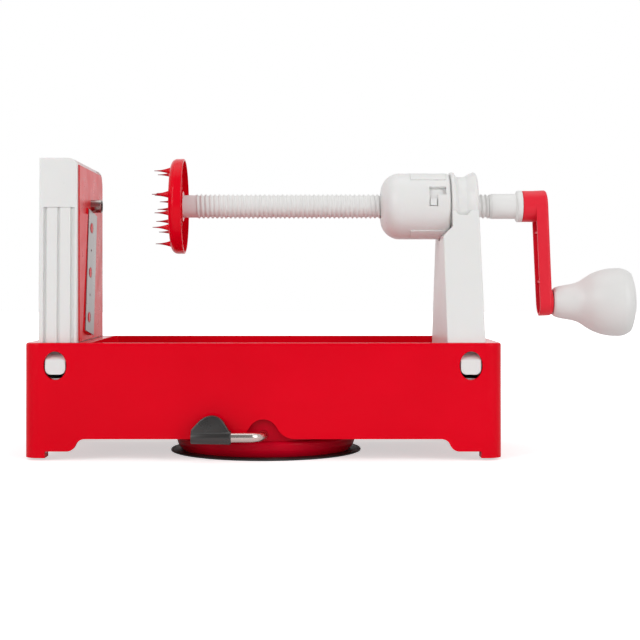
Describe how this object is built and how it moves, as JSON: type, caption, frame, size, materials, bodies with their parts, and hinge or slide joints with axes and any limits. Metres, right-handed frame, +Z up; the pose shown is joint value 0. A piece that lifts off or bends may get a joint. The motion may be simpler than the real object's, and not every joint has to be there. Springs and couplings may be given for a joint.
{
  "type": "spiral slicer",
  "caption": "Hand-cranked spiral slicer: a screw shaft drives food on a spiked disc onto a bladed upright, over a long tray base held by a lever-worked suction cup.",
  "frame": {"origin": "middle of the suction cup's underside, on the table", "axes": "+X along the base from the blade tower to the crank, +Y away from the lever side, +Z up from the table"},
  "size_m": [0.3752, 0.13, 0.1836],
  "materials": {
    "red_plastic": "glossy moulded",
    "white_plastic": "satin moulded",
    "dark_grey_plastic": "satin moulded",
    "black_rubber": "matte",
    "steel": "satin stainless"
  },
  "bodies": {
    "base": {"base_tray": "red_plastic", "suction_housing": "red_plastic", "housing_screws": "steel", "suction_cup": "black_rubber", "bearing_caps": "dark_grey_plastic", "bearing_screws": "steel", "blade_tower": "white_plastic", "crank_tower": "white_plastic"},
    "lever": {"lever_rod": "steel", "lever_handle": "dark_grey_plastic"},
    "cup_pull": {"cup_stem": "steel", "cup_washer": "steel"},
    "blade_insert": {"blade_plate": "red_plastic", "slicing_blade": "steel", "coring_tube": "steel"},
    "blade_latch_front": {"blade_tower_latch_front": "white_plastic"},
    "blade_latch_rear": {"blade_tower_latch_rear": "white_plastic"},
    "crank_latch_front": {"crank_tower_latch_front": "white_plastic"},
    "crank_latch_rear": {"crank_tower_latch_rear": "white_plastic"},
    "collar": {"release_collar": "white_plastic"},
    "upper_nut": {"upper_half_nut": "white_plastic", "nut_springs": "steel"},
    "lower_nut": {"lower_half_nut": "white_plastic"},
    "feed_rod": {"tie_rod": "steel"},
    "spindle": {"threaded_shaft": "white_plastic", "spiked_disc": "red_plastic", "crank_arm": "red_plastic", "crank_nut": "steel", "knob_pin": "steel"},
    "knob_grip": {"knob": "white_plastic", "knob_plug": "white_plastic"}
  },
  "joints": [
    {"name": "shaft_advance", "type": "slide", "parent": "base", "child": "feed_rod", "axis": [-1, 0, 0], "range_m": [-0.1199, 0.0244]},
    {"name": "crank_turn", "type": "hinge", "parent": "feed_rod", "child": "spindle", "pos_m": [0, 0, 0.1536], "axis": [-1, 0, 0], "range_deg": [-15150, 3090]},
    {"name": "knob_spin", "type": "hinge", "parent": "spindle", "child": "knob_grip", "pos_m": [0.1815, 0, 0.0931], "axis": [1, 0, 0], "continuous": true},
    {"name": "lever_swing", "type": "hinge", "parent": "base", "child": "lever", "pos_m": [0, 0, 0.0147], "axis": [0, 1, 0], "range_deg": [0, 170]},
    {"name": "cup_stem_lift", "type": "slide", "parent": "base", "child": "cup_pull", "axis": [0, 0, 1], "range_m": [0, 0.00496]},
    {"name": "collar_twist", "type": "hinge", "parent": "base", "child": "collar", "pos_m": [0.09, 0, 0.1536], "axis": [1, 0, 0], "range_deg": [0, 20]},
    {"name": "upper_nut_open", "type": "slide", "parent": "base", "child": "upper_nut", "axis": [0, 0, 1], "range_m": [0, 0.0013], "deforming": ["nut_springs"]},
    {"name": "lower_nut_open", "type": "slide", "parent": "base", "child": "lower_nut", "axis": [0, 0, -1], "range_m": [0, 0.0013]},
    {"name": "blade_insert_lift", "type": "slide", "parent": "base", "child": "blade_insert", "axis": [0, 0, 1], "range_m": [0, 0.1]},
    {"name": "blade_latch_front_press", "type": "hinge", "parent": "base", "child": "blade_latch_front", "pos_m": [-0.1232, -0.0482, 0.069], "axis": [1, 0, 0], "range_deg": [0, 16], "stiffness_Nm_per_rad": 0.02},
    {"name": "blade_latch_rear_press", "type": "hinge", "parent": "base", "child": "blade_latch_rear", "pos_m": [-0.1232, 0.0482, 0.069], "axis": [-1, 0, 0], "range_deg": [0, 16], "stiffness_Nm_per_rad": 0.02},
    {"name": "crank_latch_front_press", "type": "hinge", "parent": "base", "child": "crank_latch_front", "pos_m": [0.1232, -0.0482, 0.069], "axis": [1, 0, 0], "range_deg": [0, 16], "stiffness_Nm_per_rad": 0.02},
    {"name": "crank_latch_rear_press", "type": "hinge", "parent": "base", "child": "crank_latch_rear", "pos_m": [0.1232, 0.0482, 0.069], "axis": [-1, 0, 0], "range_deg": [0, 16], "stiffness_Nm_per_rad": 0.02}
  ],
  "couplings": [
    {"joint": "crank_turn", "follows": "shaft_advance", "rad_per_m": 2204.6},
    {"joint": "lever_swing", "follows": "cup_stem_lift", "rad_per_m": 598.16},
    {"joint": "collar_twist", "follows": "lower_nut_open", "rad_per_m": 268.38},
    {"joint": "upper_nut_open", "follows": "lower_nut_open", "ratio": 1}
  ]
}
